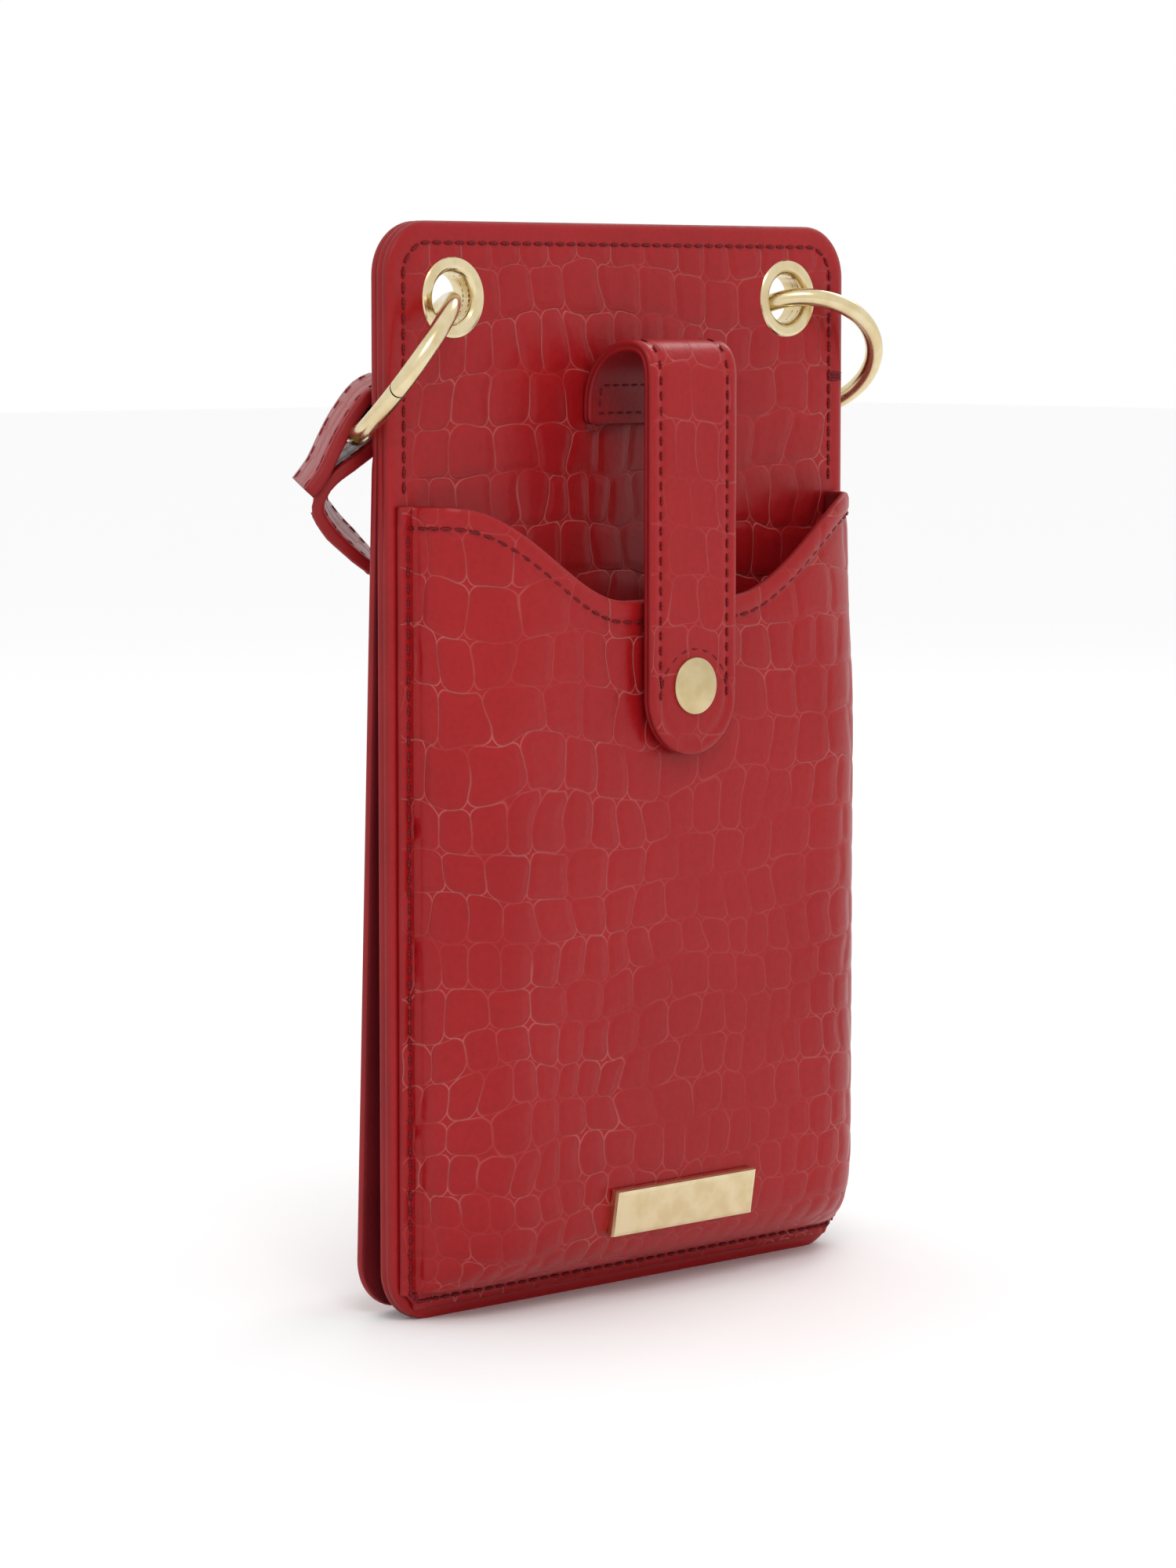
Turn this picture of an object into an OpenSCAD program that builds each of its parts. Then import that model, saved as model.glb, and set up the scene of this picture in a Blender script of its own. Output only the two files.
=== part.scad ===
// Crossbody phone wallet: a flat front leaf with a moulded phone pocket, a rear leaf that folds up
// over three card slots, a snap tab, two eyelets with gate rings, and a strap rolled up behind.
// Millimetres. X is across the case, the front faces -Y, Z is up, and the origin is at the middle
// of the front leaf's bottom edge.

/* [Case] */
// Width of both leaves
case_w = 110; // [100:1:120]
// Height of the front leaf
case_h = 188; // [180:1:200]
// Radius of the leaves' corners
corner_r = 9; // [6:0.5:12]
// Thickness of the front leaf
leaf_t = 3.1; // [2.6:0.1:3.6]
// Thickness of the rear leaf and of its sewn header
rear_t = 1.6; // [1.4:0.1:2.2]
// Height of the fold line of the rear leaf
fold_z = 149; // [140:1:150]
// Angle by which the rear leaf stands off when closed
rest_splay = 2; // [1:0.1:4]

/* [Phone pocket] */
// Depth of the pocket's front above the leaf
pocket_d = 14.2; // [12:0.2:16]
// Height of the pocket's mouth at the sides
mouth_side_z = 140; // [130:1:145]
// Height of the pocket's mouth in the middle
mouth_mid_z = 123; // [115:1:126]
// Width of the rounded wall around the pocket
pocket_wall_w = 16; // [12:1:20]
// Thickness of the pocket's leather
pocket_t = 1.3; // [1:0.1:1.6]

/* [Card slots] */
// Heights of the mouths of the three card slots
slot_mouths = [95, 79, 63]; // [40:1:100]
// Thickness of a card slot's leather
slot_t = 0.6; // [0.5:0.1:0.8]

/* [Closure tab] */
// Width of the tab
tab_w = 20.7; // [18:0.1:24]
// Thickness of the tab
tab_t = 2; // [1.6:0.1:2.4]
// Height of the snap on the tab
snap_z = 108; // [100:1:112]
// Width of the snap's cap
snap_d = 10; // [8:0.5:12]

/* [Eyelets and rings] */
// Distance of an eyelet from the middle
eyelet_x = 40.5; // [38:0.5:42]
// Height of the eyelets
eyelet_z = 175.3; // [172:0.1:177]
// Outer width of an eyelet
eyelet_d = 14; // [13.5:0.5:16]
// Bore of an eyelet
bore_d = 8.8; // [8.8:0.1:9]
// Thickness of a ring's wire
wire_d = 3.2; // [2.8:0.1:3.2]
// Radius of a ring along the middle of its wire
ring_r = 14.1; // [14:0.1:15]

/* [Ornament] */
// Size of the front plate, across and up
plate_size = [34, 8.5]; // [6:0.5:40]
// Height of the plate's middle
plate_z = 16.5; // [14:0.5:24]

/* [Strap] */
// Width of the strap
strap_w = 14; // [10:1:16]
// Thickness of the strap
strap_t = 2.2; // [1.8:0.1:2.6]

/* [Hidden] */
$fn = 64;

// Colours
LEATHER = "#a0262a";
LINING = "#7c1a1e";
BOARD = "#b8a98a";
GOLD = "#d7c896";

// The front leaf's faces, and the back of the rear header
front_y = -leaf_t / 2;
back_y = leaf_t / 2;
header_y = back_y + rear_t;
skin_t = 1.1;
board_inset = 2;
board_t = leaf_t - 2 * skin_t;
barrel_t = 0.4;
gap = 0.3;
lining_gap = 0.35;

// The pocket
pocket_hw = case_w / 2 - 2.8;
pocket_z = 2.8;
flange_w = 2.6;
pocket_front_y = front_y - pocket_d;
lining_t = 0.5;
wall_power = 2.4;
scoop_out = 49;
scoop_in = 13;

// The tab stands off the pocket by the height of the snap
snap_gap = 1.35;
tab_inner_y = pocket_front_y - snap_gap;
tab_outer_y = tab_inner_y - tab_t;
tab_root_z = 153.5;
tab_foot_z = 157;
tab_top_z = 167.2;
shoulder_z = 161.3;
tab_tip_z = 96;
tab_lining_t = 0.9;

// The eyelets go through the whole sandwich, and the rings hang in them
eyelet_mid_y = (front_y + header_y) / 2;
flare_r = 1.2;
flange_t = 0.35;
left_centre = [-48.41, 2.34, 163.32];
left_normal = [-0.668, 0.459, 0.585];
right_centre = [49.65, 4.64, 165.06];
right_normal = [-0.465, -0.582, -0.667];
gate_start = [-175, 43];
gate_angle = 55;
gate_gap = 2;
pin_d = 0.8;
tongue_t = 1;
end_w = 10;
end_r = 5.2;
end_l = 12;
end_angle = [145, 138];
end_tilt = [0, 42];

function unit(v) = v / norm(v);
function hole_way(side) = let (n = unit(side < 0 ? left_normal : right_normal),
    d = [side * eyelet_x, eyelet_mid_y, eyelet_z - 1] - (side < 0 ? left_centre : right_centre))
    unit(d - (d * n) * n);

// A ring's own frame: X towards the eyelet, Z along the ring's axis
module ring_frame(side) {
    c = side < 0 ? left_centre : right_centre;
    n = unit(side < 0 ? left_normal : right_normal);
    e = hole_way(side);
    f = cross(n, e);
    multmatrix([[e[0], f[0], n[0], c[0]], [e[1], f[1], n[1], c[1]], [e[2], f[2], n[2], c[2]]])
        children();
}

// Outlines in the plane of the leaves
module leaf_outline(w, h, r) {
    translate([-w / 2 + r, 0]) square([w - 2 * r, h]);
    translate([-w / 2, r]) square([w, h - 2 * r]);
    for (x = [-w / 2 + r, w / 2 - r], z = [r, h - r]) translate([x, z]) circle(r);
}

// A flat sheet between two depths, upright and facing the front
module sheet(y0, y1) translate([0, y1, 0]) rotate([90, 0, 0]) linear_extrude(y1 - y0) children();

module eyelet_holes(y0, y1, r)
    for (s = [-1, 1]) translate([s * eyelet_x, y1, eyelet_z]) rotate([90, 0, 0]) cylinder(r = r, h = y1 - y0);

module front_panel() color(LEATHER) difference() {
    sheet(front_y, front_y + skin_t) leaf_outline(case_w, case_h, corner_r);
    eyelet_holes(front_y - 1, front_y + skin_t + 1, bore_d / 2 + barrel_t);
}

module board_sheet(y0, y1) translate([0, 0, board_inset])
    sheet(y0, y1) leaf_outline(case_w - 2 * board_inset, case_h - 2 * board_inset, corner_r - board_inset);

module front_board() color(BOARD) difference() {
    board_sheet(front_y + skin_t, front_y + skin_t + board_t);
    eyelet_holes(front_y, back_y, bore_d / 2 + barrel_t);
}

module front_backing() color(LEATHER) difference() {
    sheet(front_y + skin_t, back_y) leaf_outline(case_w, case_h, corner_r);
    board_sheet(front_y + skin_t - 1, front_y + skin_t + board_t);
    eyelet_holes(front_y, back_y + 1, bore_d / 2 + barrel_t);
}

// The card slots are sewn one over the other on the back of the front leaf
module card_slot(k) color(LINING) translate([0, 0, 9])
    sheet(back_y + k * slot_t, back_y + (k + 1) * slot_t)
        leaf_outline(case_w - 14, slot_mouths[k] - 9, 3);

module rear_header() color(LEATHER) difference() {
    intersection() {
        sheet(back_y, header_y) leaf_outline(case_w, case_h, corner_r);
        translate([-case_w, 0, fold_z + gap / 2]) cube([2 * case_w, 20, case_h]);
    }
    eyelet_holes(back_y - 1, header_y + 1, bore_d / 2 + barrel_t);
}

// The rear leaf hangs from the fold line, turned out by the rest angle
module rear_sheet(y0, y1, inset) translate([0, header_y, fold_z]) rotate([rest_splay, 0, 0])
    translate([0, -header_y, -fold_z]) difference() {
        translate([0, 0, 1 + inset]) sheet(y0, y1)
            leaf_outline(case_w - 2 * inset, case_h - 1 - 2 * inset, corner_r - inset);
        translate([-case_w, -10, fold_z - gap / 2 - inset]) cube([2 * case_w, 30, case_h]);
    }

module rear_leaf_inner() color(LEATHER) rear_sheet(back_y, back_y + 0.6, 0);
module rear_leaf_board() color(BOARD) rear_sheet(back_y + 0.6, back_y + 0.9, board_inset);
module rear_leaf_outer() color(LEATHER) difference() {
    rear_sheet(back_y + 0.6, header_y, 0);
    rear_sheet(back_y + 0.5, back_y + 0.9, board_inset);
}

// The pocket is a moulded sheet: flat where it is sewn, with a rounded wall all round
function rise(d, w) = d <= 0 ? 0 : d >= w ? 1 : pow(1 - pow(1 - d / w, wall_power), 1 / wall_power);
function smooth(t) = let (c = max(0, min(1, t))) c * c * (3 - 2 * c);
function mouth_z(x) = mouth_side_z
    - (mouth_side_z - mouth_mid_z) * smooth((scoop_out - abs(x)) / (scoop_out - scoop_in));
function pocket_depth(x, z, top, inset) = top
    * rise(pocket_hw - flange_w - inset - abs(x), pocket_wall_w - inset)
    * rise(z - pocket_z - flange_w - inset, pocket_wall_w - inset);

// A moulded sheet between two depth rules, each [depth of the flat rim, depth of the front, inset]
module moulded(hw, z0, outer, inner, nx, nz) {
    function at(i, j, rule) = let (x = hw * sin(90 * (2 * i / nx - 1)),
        z = z0 + (mouth_z(x) - z0) * (1 - cos(90 * j / nz)))
        [x, front_y - rule[0] - pocket_depth(x, z, rule[1] - rule[0], rule[2]), z];
    n = (nx + 1) * (nz + 1);
    function id(i, j, k) = k * n + j * (nx + 1) + i;
    points = [for (rule = [outer, inner], j = [0 : nz], i = [0 : nx]) at(i, j, rule)];
    faces = concat(
        [for (j = [0 : nz - 1], i = [0 : nx - 1])
            each [[id(i, j, 0), id(i, j + 1, 0), id(i + 1, j + 1, 0)],
                [id(i, j, 0), id(i + 1, j + 1, 0), id(i + 1, j, 0)],
                [id(i, j, 1), id(i + 1, j + 1, 1), id(i, j + 1, 1)],
                [id(i, j, 1), id(i + 1, j, 1), id(i + 1, j + 1, 1)]]],
        [for (i = [0 : nx - 1]) each [[id(i, 0, 0), id(i + 1, 0, 0), id(i + 1, 0, 1)],
            [id(i, 0, 0), id(i + 1, 0, 1), id(i, 0, 1)],
            [id(i, nz, 0), id(i + 1, nz, 1), id(i + 1, nz, 0)],
            [id(i, nz, 0), id(i, nz, 1), id(i + 1, nz, 1)]]],
        [for (j = [0 : nz - 1]) each [[id(0, j, 0), id(0, j + 1, 1), id(0, j + 1, 0)],
            [id(0, j, 0), id(0, j, 1), id(0, j + 1, 1)],
            [id(nx, j, 0), id(nx, j + 1, 0), id(nx, j + 1, 1)],
            [id(nx, j, 0), id(nx, j + 1, 1), id(nx, j, 1)]]]);
    polyhedron(points = points, faces = faces, convexity = 6);
}

module pocket_panel() color(LEATHER)
    moulded(pocket_hw, pocket_z, [pocket_t, pocket_d, 0], [0, pocket_d - pocket_t, pocket_t], 36, 26);

// The lining stays a small gap inside the leather
lining_out = pocket_t + lining_gap;
lining_in = lining_out + lining_t;
module pocket_lining() color(LINING) moulded(pocket_hw - flange_w - lining_in - lining_t,
    pocket_z + flange_w + lining_in + lining_t, [0.3, pocket_d - lining_out, lining_out],
    [0, pocket_d - lining_in, lining_in], 36, 24);

// The tab's middle line from its sewn root over the arch, as two curves, seen from the side
function curve(a, b, c, d, t) = pow(1 - t, 3) * a + 3 * t * pow(1 - t, 2) * b
    + 3 * t * t * (1 - t) * c + pow(t, 3) * d;
root_y = front_y - tab_t / 2;
run_y = tab_inner_y - tab_t / 2;
arch_line = concat([[root_y, tab_root_z]],
    [for (i = [0 : 8]) curve([root_y, tab_foot_z], [root_y - 0.2, tab_foot_z + 6.5],
        [root_y - 5, tab_top_z], [root_y - 10.6, tab_top_z], i / 8)],
    [for (i = [1 : 7]) curve([root_y - 10.6, tab_top_z], [run_y + 1.6, tab_top_z],
        [run_y, tab_top_z - 1.8], [run_y, shoulder_z + gap / 2], i / 7)]);
last = len(arch_line) - 1;
function way(i) = unit(arch_line[min(i + 1, last)] - arch_line[max(i - 1, 0)]);
function beside(i, d) = arch_line[i] + d * [-way(i)[1], way(i)[0]];

// An outline in the side view, extruded across the case
module across(w) translate([-w / 2, 0, 0]) rotate([90, 0, 90]) linear_extrude(w) children();

module tab_arch() color(LEATHER) across(tab_w) polygon(concat(
    [for (i = [0 : last]) beside(i, tab_t / 2)], [for (i = [last : -1 : 0]) beside(i, -tab_t / 2)]));

module tab_layer(y0, y1, w) translate([0, y1, 0]) rotate([90, 0, 0]) linear_extrude(y1 - y0) {
    translate([-w / 2, tab_tip_z + tab_w / 2])
        square([w, shoulder_z - gap / 2 - tab_tip_z - tab_w / 2]);
    translate([0, tab_tip_z + tab_w / 2]) circle(w / 2);
}

module tab_outer() color(LEATHER) tab_layer(tab_outer_y, tab_inner_y - tab_lining_t, tab_w);
module tab_lining() color(LINING) tab_layer(tab_inner_y - tab_lining_t, tab_inner_y, tab_w);

// Snap parts turn about the line through the snap, with the front towards -Y
module at_snap(y) translate([0, y, snap_z]) rotate([90, 0, 0]) children();

module snap_cap() color(GOLD) at_snap(tab_outer_y) rotate_extrude()
    polygon(concat([[0, 0], [snap_d / 2, 0], [snap_d / 2, 0.35]],
        [for (a = [10 : 20 : 90]) [(snap_d / 2) * cos(a), 0.35 + 0.75 * sin(a)]]));
module snap_socket() color(GOLD) at_snap(tab_inner_y + 1) difference() {
    cylinder(d = 8, h = 1);
    translate([0, 0, -1]) cylinder(d = 4.6, h = 3);
}
module snap_stud() color(GOLD) at_snap(pocket_front_y) {
    cylinder(d = 6.4, h = 0.3);
    cylinder(d = 3.4, h = 1.15);
}
module snap_post() color(GOLD) at_snap(pocket_front_y + lining_in + 0.6)
    cylinder(d = 7, h = 0.45);

// An eyelet: a flange with a rounded rim, and a bore that flares at both ends
function flare(y0, way, n) = [for (i = [0 : n])
    [bore_d / 2 + flare_r * (1 - cos(90 * i / n)), y0 + way * flare_r * sin(90 * i / n)]];
module eyelet(side) color(GOLD) translate([side * eyelet_x, eyelet_mid_y, eyelet_z]) rotate([90, 0, 0])
    rotate_extrude() {
        front = leaf_t / 2 + rear_t / 2 + flange_t;
        seat = front - flange_t;
        polygon(concat(flare(front - flare_r, 1, 6),
            [[eyelet_d / 2 - 0.7, front], [eyelet_d / 2 - 0.2, front - 0.1], [eyelet_d / 2, seat],
            [bore_d / 2 + barrel_t, seat], [bore_d / 2 + barrel_t, -seat], [bore_d / 2, -seat]]));
    }
module eyelet_washer(side) color(GOLD) translate([side * eyelet_x, header_y, eyelet_z])
    rotate([-90, 0, 0]) rotate_extrude()
        polygon([[bore_d / 2 + 0.1, 0], [eyelet_d / 2 - 0.2, 0], [eyelet_d / 2 - 0.4, 0.3],
            [bore_d / 2 + 1.1, 0.35], [bore_d / 2 + 0.3, 0.15]]);

// A ring is an open arc of wire whose gap is closed by a hinged gate. The seam is rounded about the hinge.
pivot_in = 0.8;
seam_gap = 0.2;
seam_lap = 16;
gate_reach = norm([ring_r * cos(gate_angle) - ring_r + pivot_in, ring_r * sin(gate_angle)]);
function side_of(side, pair) = side < 0 ? pair[0] : pair[1];
module wire(a0, a1, d) rotate([0, 0, a0]) rotate_extrude(angle = a1 - a0) translate([ring_r, 0]) circle(d = d);
module pivot(side) rotate([0, 0, side_of(side, gate_start)]) translate([ring_r - pivot_in, 0, 0]) children();
module tongue(side, t, grow) rotate([0, 0, side_of(side, gate_start) - 8 - grow])
    rotate_extrude(angle = 8 + 2 * grow) translate([ring_r - wire_d / 2, -t / 2]) square([1.6, t]);

module ring(side) color(GOLD) ring_frame(side) {
    start = side_of(side, gate_start);
    difference() {
        wire(start + gate_angle - seam_lap, start + gate_angle + seam_lap + 1, wire_d);
        pivot(side) cylinder(r = gate_reach + seam_gap, h = 2 * wire_d, center = true, $fn = 96);
    }
    wire(start + gate_angle + seam_lap, start + 360 - gate_gap, wire_d);
    difference() {
        union() {
            tongue(side, tongue_t, 0);
            pivot(side) cylinder(d = 1.6, h = tongue_t, center = true);
        }
        pivot(side) cylinder(d = pin_d, h = 4, center = true);
    }
}
module gate(side) color(GOLD) ring_frame(side) difference() {
    start = side_of(side, gate_start);
    intersection() {
        wire(start, start + gate_angle + seam_lap, wire_d);
        pivot(side) cylinder(r = gate_reach, h = 2 * wire_d, center = true, $fn = 96);
    }
    rotate([0, 0, start - 1]) rotate_extrude(angle = 9) translate([ring_r - 3, -tongue_t / 2 - 0.15])
        square([6, tongue_t + 0.3]);
    pivot(side) cylinder(d = pin_d, h = 4, center = true);
}
module gate_pin(side) color(GOLD) ring_frame(side) pivot(side) cylinder(d = pin_d, h = 2.5, center = true);

// The plate lies on the sloping foot of the pocket, held by two rivets with washers on the inside
plate_t = 1.8;
plate_back = 0.6;
plate_edge = 0.8;
plate_lean = 9;
plate_seat = 0.15;
rivet_x = 13;
rivet_d = 1.6;
washer_back = lining_in + 0.95;
module at_plate(y) translate([0, pocket_front_y + plate_seat, plate_z]) rotate([plate_lean, 0, 0])
    translate([0, y, 0]) children();
module for_rivets() for (x = [-rivet_x, rivet_x]) translate([x, 0, 0]) rotate([90, 0, 0]) children();
module plate_block(size, t) translate([-size[0] / 2, -t, -size[1] / 2]) cube([size[0], t, size[1]]);

module ornament_plate() color(GOLD) at_plate(0) difference() {
    hull() {
        plate_block(plate_size, plate_t - plate_back);
        plate_block(plate_size - [2 * plate_edge, 2 * plate_edge], plate_t);
    }
    for_rivets() cylinder(d = rivet_d, h = 3 * plate_t, center = true);
}
module ornament_rivets() color(GOLD) at_plate(0) for_rivets() {
    cylinder(d = rivet_d, h = plate_t);
    translate([0, 0, plate_t]) cylinder(d = 2.8, h = 0.5);
}
module ornament_washers() color(GOLD) at_plate(washer_back) for_rivets() cylinder(d = 4.4, h = 0.4);

// The strap's sewn ends are loops round the rings' wires
module strap_end(side) color(LEATHER) ring_frame(side) rotate([0, 0, side_of(side, end_angle)])
    translate([ring_r, 0, 0]) rotate([90, 0, 0]) linear_extrude(end_w, center = true) difference() {
        rotate(side_of(side, end_tilt)) hull() {
            circle(end_r, $fn = 32);
            translate([end_l, 0]) circle(strap_t, $fn = 32);
        }
        circle(end_r - 1.6, $fn = 32);
    }

// A flat strap swept along stations, each [point, direction of its width]
module ribbon(stations, w, t) {
    m = len(stations) - 1;
    function go(i) = unit(stations[min(i + 1, m)][0] - stations[max(i - 1, 0)][0]);
    function corner(i, a, b) = let (s = unit(stations[i][1]), u = unit(cross(go(i), s)))
        stations[i][0] + a * w / 2 * s + b * t / 2 * u;
    points = [for (i = [0 : m]) each [corner(i, -1, -1), corner(i, 1, -1), corner(i, 1, 1), corner(i, -1, 1)]];
    polyhedron(points = points, faces = concat([[0, 1, 2], [0, 2, 3]],
        [for (i = [0 : m - 1], k = [0 : 3]) let (a = 4 * i + k, b = 4 * i + (k + 1) % 4)
            each [[a, a + 4, b + 4], [a, b + 4, b]]],
        [[4 * m + 2, 4 * m + 1, 4 * m], [4 * m + 3, 4 * m + 2, 4 * m]]));
}

// The routes of the strap from its ends down to the roll, chosen by hand
roll_x = 15;
roll_y = 17;
roll_half = 29;
roll_r = 14.8;
tie_w = 9;
tie_t = 1.2;
left_route = [[[-56.1, 14, 140.1], [0.65, 0.75, 0]], [[-54.5, 14, 137.5], [0.7, 0.7, 0]],
    [[-49, 14.5, 133], [0.7, 0.7, 0]], [[-43, 15.5, 128.5], [0.6, 0.8, 0]],
    [[-38.5, 16.5, 121], [0.3, 0.95, 0]], [[-36, 17, 110], [0.1, 1, 0]], [[-35, 17, 94], [0, 1, 0]],
    [[-34.5, 17, 76], [0, 1, 0]], [[-33.5, 17, 56], [0, 1, 0]], [[-32, 17, 38], [0, 1, 0]],
    [[-31, 17, 24], [0, 1, 0]]];
right_route = [[[48.3, 16, 139.5], [0.88, -0.4, -0.2]], [[49, 17, 132], [0.8, -0.6, 0]],
    [[50.6, 17, 122], [0.5, -0.87, 0]], [[52.6, 17, 110], [0.2, -0.98, 0]],
    [[55, 17, 96], [0, -1, 0]], [[57, 17, 80], [0, -1, 0]], [[58.3, 17, 64], [0, -1, 0]],
    [[58, 17, 50], [0, -1, 0]], [[55.5, 17, 40], [0, -1, 0]], [[51.5, 17, 34], [0, -1, 0]]];
module strap_lead(route) color(LEATHER) ribbon(route, strap_w, strap_t);

module strap_roll() color(LEATHER) translate([roll_x, roll_y + strap_w / 2, roll_r])
    rotate([90, 0, 0]) linear_extrude(strap_w) difference() {
        hull() for (s = [-1, 1]) translate([s * roll_half, 0]) circle(roll_r);
        translate([-tie_w / 2, -2 * roll_r]) square([tie_w, 4 * roll_r]);
    }
module strap_tie() color(LEATHER) translate([roll_x - tie_w / 2, roll_y - strap_w / 2 - tie_t, 0])
    cube([tie_w, strap_w + 2 * tie_t, 2 * roll_r + tie_t]);

front_panel();
front_board();
front_backing();
card_slot(0);  // card_slot_1
card_slot(1);  // card_slot_2
card_slot(2);  // card_slot_3
rear_header();
rear_leaf_outer();
rear_leaf_board();
rear_leaf_inner();
pocket_panel();
pocket_lining();
tab_arch();
tab_outer();
tab_lining();
snap_cap();
snap_socket();
snap_stud();
snap_post();
eyelet(-1);  // eyelet_left
eyelet(1);  // eyelet_right
eyelet_washer(-1);  // eyelet_washer_left
eyelet_washer(1);  // eyelet_washer_right
ring(-1);  // ring_left
ring(1);  // ring_right
gate(-1);  // gate_left
gate(1);  // gate_right
gate_pin(-1);  // gate_pin_left
gate_pin(1);  // gate_pin_right
ornament_plate();
ornament_rivets();
ornament_washers();
strap_end(-1);  // strap_end_left
strap_end(1);  // strap_end_right
strap_lead(left_route);  // strap_lead_left
strap_lead(right_route);  // strap_lead_right
strap_roll();
strap_tie();
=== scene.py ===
"""The looks of a crossbody phone wallet case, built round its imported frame.

Shapes are worked out in millimetres, in the frame's own axes, and scaled to metres when a piece is made.
X is across the case, the front faces -Y, Z is up.
"""
import math

import bmesh
import bpy
from mathutils import Matrix, Vector, noise


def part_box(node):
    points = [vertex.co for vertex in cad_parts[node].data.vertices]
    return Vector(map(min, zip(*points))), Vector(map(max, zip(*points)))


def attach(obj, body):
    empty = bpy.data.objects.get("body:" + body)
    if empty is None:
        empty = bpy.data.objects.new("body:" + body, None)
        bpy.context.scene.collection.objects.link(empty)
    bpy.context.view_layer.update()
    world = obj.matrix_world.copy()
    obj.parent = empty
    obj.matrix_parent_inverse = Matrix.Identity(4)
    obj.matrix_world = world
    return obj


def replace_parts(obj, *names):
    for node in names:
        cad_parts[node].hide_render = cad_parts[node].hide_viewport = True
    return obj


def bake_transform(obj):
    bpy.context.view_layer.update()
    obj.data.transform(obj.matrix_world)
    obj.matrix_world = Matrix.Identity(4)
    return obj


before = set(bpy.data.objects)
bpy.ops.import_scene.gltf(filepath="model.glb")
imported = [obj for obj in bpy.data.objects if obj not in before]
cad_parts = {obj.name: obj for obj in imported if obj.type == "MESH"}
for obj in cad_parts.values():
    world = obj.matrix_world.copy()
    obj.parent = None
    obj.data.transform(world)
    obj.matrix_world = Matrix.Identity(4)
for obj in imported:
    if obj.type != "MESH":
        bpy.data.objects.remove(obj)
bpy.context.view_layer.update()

MM = 0.001


def low(node):
    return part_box(node)[0] / MM


def high(node):
    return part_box(node)[1] / MM


# ---------------------------------------------------------------- sizes from the frame, in millimetres

HALF_W = high("front_panel").x
CASE_H = high("front_panel").z
FRONT_Y = low("front_panel").y
BACK_Y = high("front_backing").y
HEADER_Y = high("rear_header").y
FOLD_GAP = 0.3
FOLD_Z = low("rear_header").z - FOLD_GAP / 2
LEAF_CORNER = 9.0
REST_SPLAY = math.radians(2)

POCKET_HW = high("pocket_panel").x + 1.2
POCKET_Z = low("pocket_panel").z - 0.6
POCKET_D = FRONT_Y - low("pocket_panel").y
POCKET_RIM = 2.6
POCKET_WALL = 16.0
POCKET_T = 1.3
POCKET_CORNER = 6.5
WALL_POWER = 2.4
MOUTH_SIDE_Z = high("pocket_panel").z
MOUTH_MID_Z = 123.0
SCOOP_OUT = 49.0
SCOOP_IN = 13.0
WELT_W = 3.2

TAB_HALF = high("tab_outer").x
TAB_TIP_Z = low("tab_outer").z
TAB_FRONT_Y = low("tab_outer").y
TAB_BACK_Y = high("tab_lining").y
TAB_T = TAB_BACK_Y - TAB_FRONT_Y
TAB_ROOT_Z = low("tab_arch").z
TAB_TOP_Z = 167.2
TAB_FOOT_Z = 157.0
SHOULDER_Z = high("tab_outer").z + FOLD_GAP / 2

EYELET_X = (low("eyelet_right").x + high("eyelet_right").x) / 2
EYELET_Z = (low("eyelet_right").z + high("eyelet_right").z) / 2
EYELET_HOLE = 4.7

STRAP_W = 14.0
STRAP_T = 2.2

# ---------------------------------------------------------------- camera

CAMERA_AT = Vector((-580.3, -610.8, 173.1))
LOOKS_AT = Vector((-7.6, 0.0, 89.9))
IMAGE_SIDE = 36.0
FOCAL_LENGTH = 109.35


def make_camera():
    data = bpy.data.cameras.new("camera")
    data.sensor_fit = "VERTICAL"
    data.sensor_height = IMAGE_SIDE
    data.lens = FOCAL_LENGTH
    data.clip_start = 0.05
    data.clip_end = 20
    camera = bpy.data.objects.new("camera", data)
    camera.location = CAMERA_AT * MM
    camera.rotation_euler = (LOOKS_AT - CAMERA_AT).to_track_quat("-Z", "Y").to_euler()
    bpy.context.scene.collection.objects.link(camera)
    bpy.context.scene.camera = camera


make_camera()

# ---------------------------------------------------------------- node materials


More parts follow.
